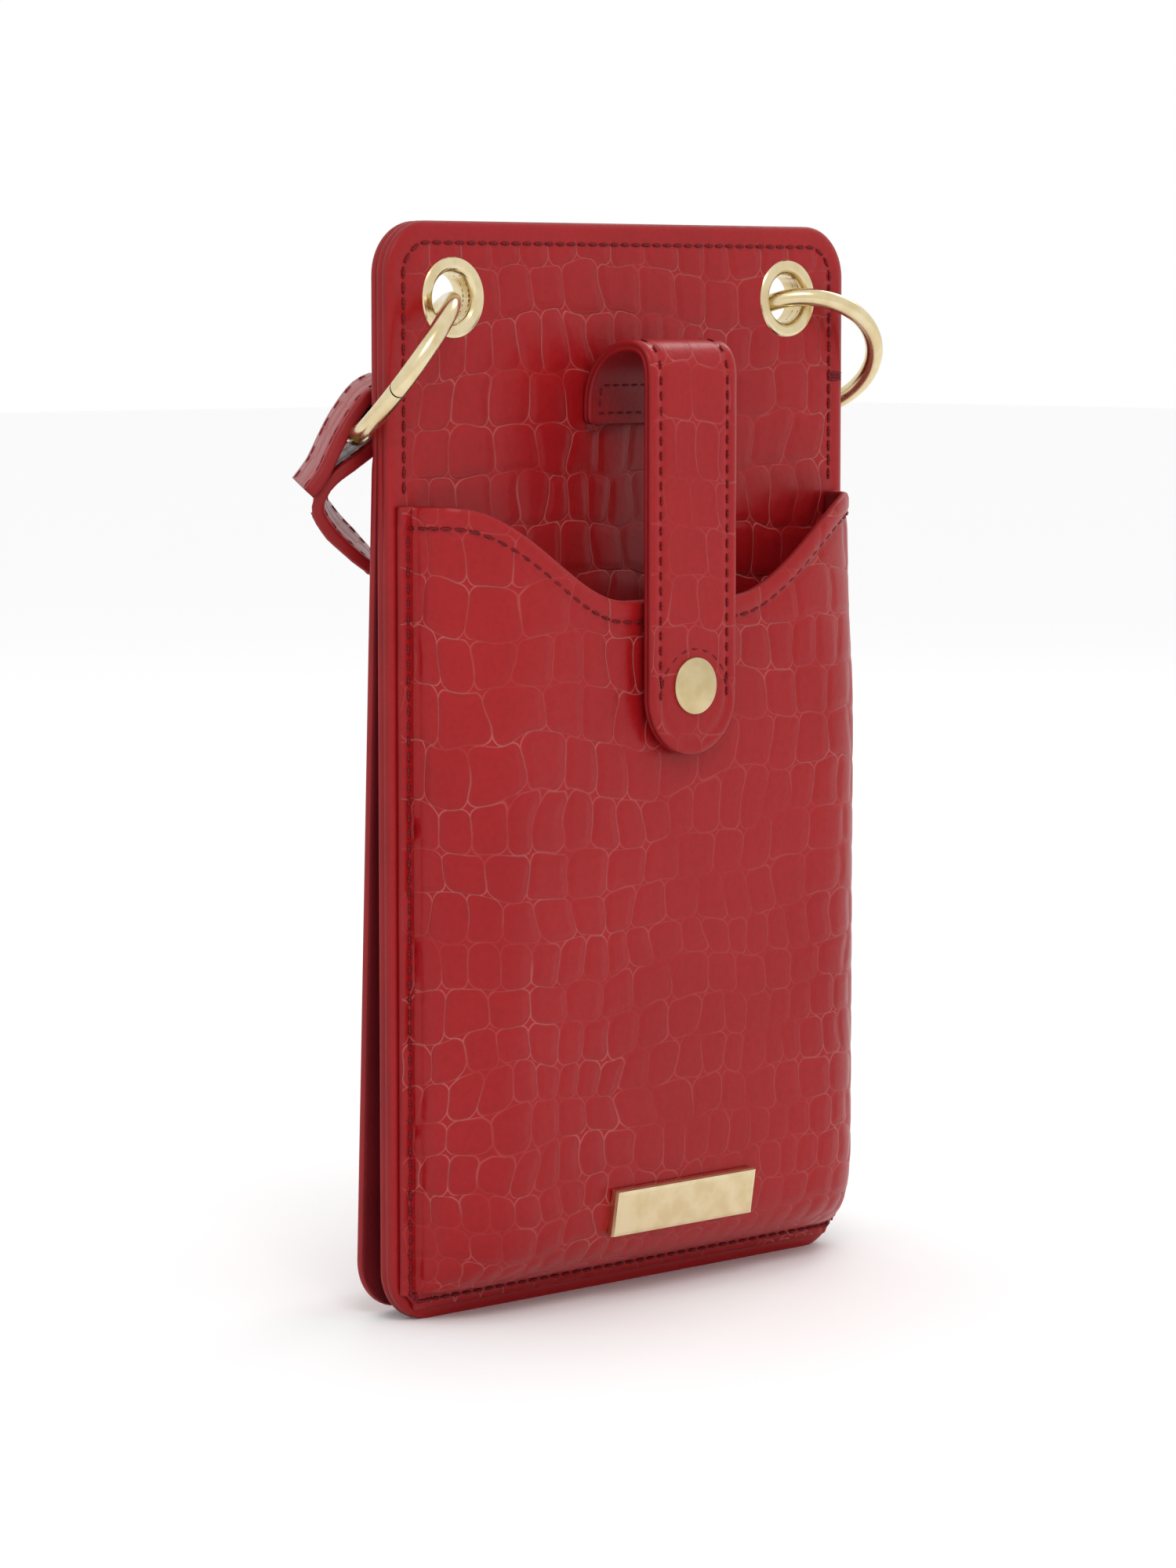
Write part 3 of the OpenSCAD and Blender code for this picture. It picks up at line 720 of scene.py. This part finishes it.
def make_tie():
    """A band round the roll."""
    front, back = low("strap_tie").y + TIE_T / 2, high("strap_tie").y - TIE_T / 2
    bottom, top = TIE_T / 2, high("strap_tie").z - TIE_T / 2 - 0.6
    stations = []
    for y, z, start in ((back - TIE_ROUND, top - TIE_ROUND, 0), (front + TIE_ROUND, top - TIE_ROUND, 90),
                        (front + TIE_ROUND, bottom + TIE_ROUND, 180), (back - TIE_ROUND, bottom + TIE_ROUND, 270)):
        for point in arc(y, z, TIE_ROUND, start, start + 90, 6):
            stations.append([Vector((ROLL.x, point.x, point.y)), Vector((1, 0, 0))])
    tie = sweep("strap_tie_band", framed(stations + stations[:2])[1:-1] + framed(stations[:3])[1:2], (TIE_HALF, TIE_T),
                [SMOOTH_LEATHER, EDGE_PAINT], closed=True)
    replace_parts(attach(tie, "rear_leaf"), "strap_tie")


make_strap()
make_tie()

# ---------------------------------------------------------------- front leaf


def leaf_cut(u, v):
    distance = rounded_box(u, v, HALF_W, 0, CASE_H, LEAF_CORNER, LEAF_CORNER)
    hole = EYELET_HOLE - math.hypot(abs(u) - EYELET_X, v - EYELET_Z)
    return max(distance, hole)


CHANNEL_AT = 3.4
TACK_Z = 160.6


def channel(distance, at=CHANNEL_AT, depth=0.22, width=0.9):
    """The line that sewing pulls into the leather, a way in from the edge."""
    return -depth * math.exp(-(((distance + at) / width) ** 2))


def scale_relief(scales, u, v, pressing):
    inside = scales.distance(u, v)
    return pressing * (0.07 * smooth(inside / 1.9) - 0.05 * (1 - smooth(inside / 0.7)))


def leaf_hide(u, v, seed=3.0):
    way, up = warped(u, v, 3.4, seed)
    edge = rounded_box(u, v, HALF_W, 0, CASE_H, LEAF_CORNER, LEAF_CORNER)
    return way + 200, up / LEAF_SCALES.height + 3, 0.9 * smooth((-edge - CHANNEL_AT + 0.6) / 1.0)


def leaf_relief(u, v, distance, seed=3.0):
    edge = rounded_box(u, v, HALF_W, 0, CASE_H, LEAF_CORNER, LEAF_CORNER)
    flat = smooth((-edge - CHANNEL_AT) / 2.5)
    way, row, pressing = leaf_hide(u, v, seed)
    return channel(edge) + scale_relief(LEAF_SCALES, way, row, pressing * (0.35 + 0.65 * flat))


def lay_front(u, v, height):
    return Vector((u, FRONT_Y - height, v))


def make_front_leaf():
    leaf = make_skin(
        "front_leaf", leaf_cut, (-HALF_W, HALF_W, 0, CASE_H), 0.85, BACK_Y - FRONT_Y,
        leaf_relief, lay_front, leaf_hide, [LEAF_LEATHER, EDGE_PAINT, LINING], lobes=2)
    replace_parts(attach(leaf, "case"), "front_panel", "front_backing")
    thread = make_stitches("front_leaf_stitches", sewn(sew_top_line(), lay_front))
    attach(thread, "case")
    tack = [Vector((HALF_W - 3.6 + 0.02 * k, TACK_Z + 0.55 * k, 0)) for k in range(3)]
    rows = [(lay_front(place.x + 1.6, place.y, 0), Vector((1, 0, 0)), Vector((0, -1, 0))) for place in tack]
    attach(make_stitches("edge_tack", rows, 3.6, 0.36), "case")


def sew_top_line():
    """The seam round the leaf above the pocket."""
    h, t, c = HALF_W - CHANNEL_AT, CASE_H - CHANNEL_AT, LEAF_CORNER - CHANNEL_AT
    start = Vector((h, MOUTH_SIDE_Z + 2, 0))
    end = Vector((-h, MOUTH_SIDE_Z + 2, 0))
    return [start] + arc(h - c, t - c, c, 0, 90) + arc(-h + c, t - c, c, 90, 180) + [end]


make_front_leaf()

# ---------------------------------------------------------------- moulded pocket


def rise(d, w):
    if d <= 0:
        return 0.0
    return 1.0 if d >= w else (1 - (1 - d / w) ** WALL_POWER) ** (1 / WALL_POWER)


def mouth_z(x):
    return MOUTH_SIDE_Z - (MOUTH_SIDE_Z - MOUTH_MID_Z) * smooth((SCOOP_OUT - abs(x)) / (SCOOP_OUT - SCOOP_IN))


def pocket_depth(x, z):
    """How far the pocket's face stands off the leaf. The wall flattens out towards the mouth's corners."""
    pinched = POCKET_WALL + 13 * smooth((z - 98) / 42)
    sides = rise(POCKET_HW - POCKET_RIM - abs(x), pinched)
    return POCKET_T + (POCKET_D - POCKET_T) * sides * rise(z - POCKET_Z - POCKET_RIM, POCKET_WALL)


def mouth_distance(x, z):
    slope = (mouth_z(x + 0.1) - mouth_z(x - 0.1)) / 0.2
    return (z - mouth_z(x)) / math.hypot(1, slope)


# The pocket is cut wide enough to run down its walls. run_at() is the way along the leather.
WALL_TABLE_STEP = 0.25


def wall_run():
    """How far the leather has run at each step in from the rim, down the wall."""
    run, table, before = 0.0, [0.0], 0.0
    d = 0.0
    while d < POCKET_WALL + POCKET_RIM:
        d += WALL_TABLE_STEP
        depth = (POCKET_D - POCKET_T) * rise(d - POCKET_RIM, POCKET_WALL)
        run += math.hypot(WALL_TABLE_STEP, depth - before)
        before = depth
        table.append(run)
    return table


WALL_RUN = wall_run()


def run_at(d):
    """Leather's way along from the rim to a distance in."""
    place = max(0.0, d) / WALL_TABLE_STEP
    i = int(place)
    if i >= len(WALL_RUN) - 1:
        return WALL_RUN[-1] + max(0.0, d) - (len(WALL_RUN) - 1) * WALL_TABLE_STEP
    return WALL_RUN[i] + (WALL_RUN[i + 1] - WALL_RUN[i]) * (place - i)


def distance_at(run):
    """The way in from the rim that a length of leather reaches."""
    if run >= WALL_RUN[-1]:
        return (len(WALL_RUN) - 1) * WALL_TABLE_STEP + run - WALL_RUN[-1]
    i = max(0, next(k for k, reached in enumerate(WALL_RUN) if reached > run) - 1)
    share = (run - WALL_RUN[i]) / (WALL_RUN[i + 1] - WALL_RUN[i])
    return (i + share) * WALL_TABLE_STEP


FLAT_HALF = run_at(POCKET_HW)


def across_at(u):
    """The place across the case of a way across the leather."""
    return math.copysign(POCKET_HW - distance_at(FLAT_HALF - abs(u)), u)


def up_at(v):
    return POCKET_Z + distance_at(v)


TOP_RUN = run_at(MOUTH_SIDE_Z - POCKET_Z)


def pocket_cut(u, v):
    x, z = across_at(u), up_at(v)
    box = rounded_box(u, v, FLAT_HALF, 0, TOP_RUN + 30, POCKET_CORNER, 1)
    return max(box, mouth_distance(x, z))


def pocket_hide(u, v):
    way, up = warped(u, v, 4.2, 9.0)
    worn = smooth((34 - abs(u - 12)) / 26) * smooth((126 - v) / 30)
    return way + 300, POCKET_SCALES.row_at(up + 12), 1.0 - 0.72 * worn


def pocket_relief(u, v, distance):
    x, z = across_at(u), up_at(v)
    below = mouth_distance(x, z)
    welt = 0.35 * smooth((below + WELT_W + 0.7) / 0.9)
    seam = channel(below, WELT_W + 0.3, 0.3, 0.7)
    side = channel(rounded_box(u, v, FLAT_HALF, 0, TOP_RUN + 30, POCKET_CORNER, 1), 1.4, 0.15, 0.6)
    way, row, pressing = pocket_hide(u, v)
    flat = smooth((-below - WELT_W) / 1.5)
    return welt + seam + side + scale_relief(POCKET_SCALES, way, row, pressing * flat)


def pocket_normal(x, z):
    step = 0.1
    dx = (pocket_depth(x + step, z) - pocket_depth(x - step, z)) / (2 * step)
    dz = (pocket_depth(x, z + step) - pocket_depth(x, z - step)) / (2 * step)
    return Vector((-dx, -1, -dz)).normalized()


def lay_pocket(u, v, height):
    x, z = across_at(u), up_at(v)
    out = pocket_normal(x, z)
    return Vector((x, FRONT_Y - pocket_depth(x, z), z)) + out * height


def make_pocket():
    pocket = make_skin(
        "moulded_pocket", pocket_cut, (-FLAT_HALF, FLAT_HALF, 0, TOP_RUN + 1), 0.85, POCKET_T * 0.95,
        pocket_relief, lay_pocket, pocket_hide, [POCKET_LEATHER, EDGE_PAINT, LINING], bulge=0.25)
    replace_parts(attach(pocket, "case"), "pocket_panel", "pocket_lining")
    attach(make_stitches("pocket_stitches", pocket_seams()), "case")


def pocket_seams():
    steps = 120
    half = FLAT_HALF - 1.4
    mouth = []
    for i in range(steps + 1):
        u = half * (2 * i / steps - 1)
        x = across_at(u)
        mouth.append(Vector((u, run_at(mouth_z(x) - WELT_W - 0.3 - POCKET_Z), 0)))
    c = POCKET_CORNER - 1.4
    down = [Vector((-half, mouth[0].y - 1, 0))] + arc(-half + c, 1.4 + c, c, 180, 270)
    down += arc(half - c, 1.4 + c, c, 270, 360) + [Vector((half, mouth[-1].y - 1, 0))]
    return sewn(mouth, lay_pocket, -0.05) + sewn(down, lay_pocket, -0.05)


make_pocket()

# ---------------------------------------------------------------- closure tab


def curve_point(a, b, c, d, t):
    return a * (1 - t) ** 3 + b * 3 * t * (1 - t) ** 2 + c * 3 * t * t * (1 - t) + d * t ** 3


def tab_line():
    """The tab's middle line seen from the side, as (y, z), from its root over the arch to its tip."""
    root_y = FRONT_Y - TAB_T / 2
    run_y = TAB_BACK_Y - TAB_T / 2
    foot, top = Vector((root_y, TAB_FOOT_Z)), Vector((root_y - 10.6, TAB_TOP_Z))
    shoulder = Vector((run_y, SHOULDER_Z))
    rising = [curve_point(foot, Vector((root_y - 0.2, TAB_FOOT_Z + 6.5)), Vector((root_y - 5, TAB_TOP_Z)), top, i / 20)
              for i in range(21)]
    falling = [curve_point(top, Vector((run_y + 1.6, TAB_TOP_Z)), Vector((run_y, TAB_TOP_Z - 1.8)), shoulder, i / 20)
               for i in range(1, 21)]
    return [Vector((root_y, TAB_ROOT_Z))] + rising + falling + [Vector((run_y, TAB_TIP_Z - 5))]


TAB_LINE = tab_line()
TAB_WAYS = [0.0]
for a, b in zip(TAB_LINE, TAB_LINE[1:]):
    TAB_WAYS.append(TAB_WAYS[-1] + (b - a).length)
TAB_L = TAB_WAYS[-1] - 5


def lay_tab(u, v, height):
    """v is the way along the tab from its root."""
    i = max(k for k in range(len(TAB_WAYS) - 1) if TAB_WAYS[k] <= max(v, 0))
    a, b = TAB_LINE[i], TAB_LINE[i + 1]
    share = (v - TAB_WAYS[i]) / (TAB_WAYS[i + 1] - TAB_WAYS[i])
    place = a.lerp(b, share)

    def turn(k):
        before, after = TAB_LINE[max(k - 1, 0)], TAB_LINE[min(k + 1, len(TAB_LINE) - 1)]
        return (after - before).normalized()

    way = turn(i).lerp(turn(i + 1), max(0.0, min(1.0, share))).normalized()
    out = Vector((way.y, -way.x))
    place = place + out * (TAB_T / 2 + height)
    return Vector((u, place.x, place.y))


def lay_tab_under(u, v, height):
    """A point on the tab's underside, where height goes down from it."""
    return lay_tab(u, v, -TAB_T - height)


TAB_SEAM = 2.3
TAB_ROOT_SEAM = 7.0


def tab_cut(u, v):
    return rounded_box(u, v, TAB_HALF, 0, TAB_L, 1.0, TAB_HALF)


def tab_hide(u, v):
    way, up = warped(u, v, 3.0, 17.0)
    return way + 100, up / LEAF_SCALES.height + 5, 0.55


def tab_relief(u, v, distance):
    way, row, pressing = tab_hide(u, v)
    edge = tab_cut(u, v)
    flat = smooth((-edge - 2.6) / 1.2)
    return channel(edge, 2.3, 0.25, 0.6) + scale_relief(LEAF_SCALES, way, row, pressing * flat)


def make_tab():
    tab = make_skin(
        "closure_tab_leather", tab_cut, (-TAB_HALF, TAB_HALF, 0, TAB_L), 0.6, TAB_T,
        tab_relief, lay_tab, tab_hide, [LEAF_LEATHER, EDGE_PAINT, SMOOTH_LEATHER], lobes=2, bulge=0.2)
    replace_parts(tab, "tab_arch", "tab_outer", "tab_lining")
    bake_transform(tab)
    h = TAB_HALF - TAB_SEAM
    straight = TAB_L - TAB_HALF
    around = [Vector((-h, TAB_ROOT_SEAM, 0)), Vector((-h, straight, 0))]
    around += arc(0, straight, h, 180, 360, 16)[1:] + [Vector((h, TAB_ROOT_SEAM, 0))]
    around = [a.lerp(b, i / 40) for a, b in zip(around[:1], around[1:2]) for i in range(40)] + around[1:]
    root = [Vector((x, y, 0)) for x, y in ((-h, TAB_ROOT_SEAM), (-h, 1.8), (h, 1.8), (h, TAB_ROOT_SEAM), (-h, TAB_ROOT_SEAM))]
    rows = sewn(around, lay_tab, 0.05, 2.6) + sewn(root, lay_tab_under, 0.0, 2.3)
    thread = make_stitches("tab_stitches", rows, 1.7, 0.24)
    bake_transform(thread)


make_tab()

# ---------------------------------------------------------------- rear leaf

REAR_T = HEADER_Y - BACK_Y
REAR_BOTTOM = 1.0
FOLD_SOFT = 4.0


def lay_rear(u, v, height):
    """The rear leaf faces back, and below the fold it stands off at its rest angle."""
    turned = REST_SPLAY * smooth((FOLD_Z + FOLD_SOFT / 2 - v) / FOLD_SOFT)
    y, z = height, v - FOLD_Z
    sine, cosine = math.sin(turned), math.cos(turned)
    return Vector((-u, HEADER_Y + y * cosine - z * sine, FOLD_Z + z * cosine + y * sine))


def rear_cut(u, v):
    distance = rounded_box(u, v, HALF_W, REAR_BOTTOM, CASE_H, LEAF_CORNER, LEAF_CORNER)
    return max(distance, EYELET_HOLE - math.hypot(abs(u) - EYELET_X, v - EYELET_Z))


def rear_hide(u, v):
    return leaf_hide(u, v, 31.0)


def rear_relief(u, v, distance):
    crease = -0.3 * math.exp(-(((v - FOLD_Z) / 1.6) ** 2))
    return leaf_relief(u, v, distance, 31.0) + crease


def make_rear_leaf():
    leaf = make_skin(
        "rear_leaf_leather", rear_cut, (-HALF_W, HALF_W, REAR_BOTTOM, CASE_H), 0.9, REAR_T,
        rear_relief, lay_rear, rear_hide, [LEAF_LEATHER, EDGE_PAINT, LINING], bulge=0.25)
    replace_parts(leaf, "rear_header", "rear_leaf_outer", "rear_leaf_inner", "rear_leaf_board")
    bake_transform(leaf)
    line = rounded_line(CHANNEL_AT, HALF_W, REAR_BOTTOM, CASE_H, LEAF_CORNER)
    bar = [Vector((-HALF_W + 5, FOLD_Z + 5.5, 0)), Vector((HALF_W - 5, FOLD_Z + 5.5, 0))]
    thread = make_stitches("rear_leaf_stitches", sewn(line, lay_rear) + sewn(bar, lay_rear))
    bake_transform(thread)


make_rear_leaf()

# ---------------------------------------------------------------- ornament plate

PLATE_LEAN = math.radians(9)
PLATE_EDGE = 0.75


def make_plate():
    """A polished plate, bevelled all round, leaning back on the foot of the pocket."""
    corner, other = low("ornament_plate"), high("ornament_plate")
    middle = (corner + other) / 2
    thick = 1.8
    tall = ((other.z - corner.z) - thick * math.sin(PLATE_LEAN)) / math.cos(PLATE_LEAN)
    bm = bmesh.new()
    bmesh.ops.create_cube(bm, size=1.0)
    bmesh.ops.scale(bm, vec=(other.x - corner.x, thick, tall), verts=bm.verts)
    rim = [edge for edge in bm.edges if all(vert.co.y < 0 for vert in edge.verts)]
    bmesh.ops.bevel(bm, geom=rim, offset=PLATE_EDGE, segments=2, profile=0.6, affect="EDGES", material=-1)
    bmesh.ops.rotate(bm, cent=(0, 0, 0), matrix=Matrix.Rotation(PLATE_LEAN, 3, "X"), verts=bm.verts)
    bmesh.ops.translate(bm, vec=middle, verts=bm.verts)
    plate = make_piece("bevelled_plate", bm, [GOLD])
    for face in plate.data.polygons:
        face.use_smooth = False
    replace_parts(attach(plate, "case"), "ornament_plate", "ornament_rivets")


make_plate()

# ---------------------------------------------------------------- carried-over metal, lining and board

POLISHED = ("eyelet_left", "eyelet_right", "ring_left", "ring_right", "gate_left", "gate_right",
            "gate_pin_left", "gate_pin_right")
SATIN = ("snap_cap", "snap_socket", "snap_stud", "snap_post", "eyelet_washer_left", "eyelet_washer_right",
         "ornament_washers")
LINED = ("card_slot_1", "card_slot_2", "card_slot_3")


def dress(names, material):
    for name in names:
        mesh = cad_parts[name].data
        mesh.materials.clear()
        mesh.materials.append(material)


dress(POLISHED, GOLD)
dress(SATIN, SATIN_GOLD)
dress(LINED, LINING)
dress(("front_board",), BOARD)

# ---------------------------------------------------------------- floor and light


def make_floor():
    bm = bmesh.new()
    bmesh.ops.create_grid(bm, x_segments=1, y_segments=1, size=6000)
    floor = make_piece("floor", bm, [])
    nodes = Nodes("pale_floor")
    floor.data.materials.append(nodes.finish(Base_Color=(0.95, 0.95, 0.95, 1), Roughness=0.7))


def make_light(name, place, target, size, power, colour=(1, 1, 1)):
    data = bpy.data.lights.new(name, "AREA")
    data.shape = "RECTANGLE"
    data.size, data.size_y = size
    data.energy = power
    data.color = colour
    light = bpy.data.objects.new(name, data)
    light.location = place
    light.rotation_euler = (Vector(target) - Vector(place)).to_track_quat("-Z", "Y").to_euler()
    bpy.context.scene.collection.objects.link(light)


def make_world():
    bpy.context.scene.view_settings.view_transform = "Standard"
    world = bpy.data.worlds.new("studio")
    world.use_nodes = True
    world.node_tree.nodes["Background"].inputs["Color"].default_value = (1, 1, 1, 1)
    world.node_tree.nodes["Background"].inputs["Strength"].default_value = 1.0
    bpy.context.scene.world = world


make_floor()
make_world()
make_light("key", (-0.55, -0.75, 1.15), (0, 0, 0.1), (0.45, 0.45), 4.0)
make_light("rim", (0.9, 0.2, 0.9), (0, 0, 0.1), (0.4, 0.4), 2.0)
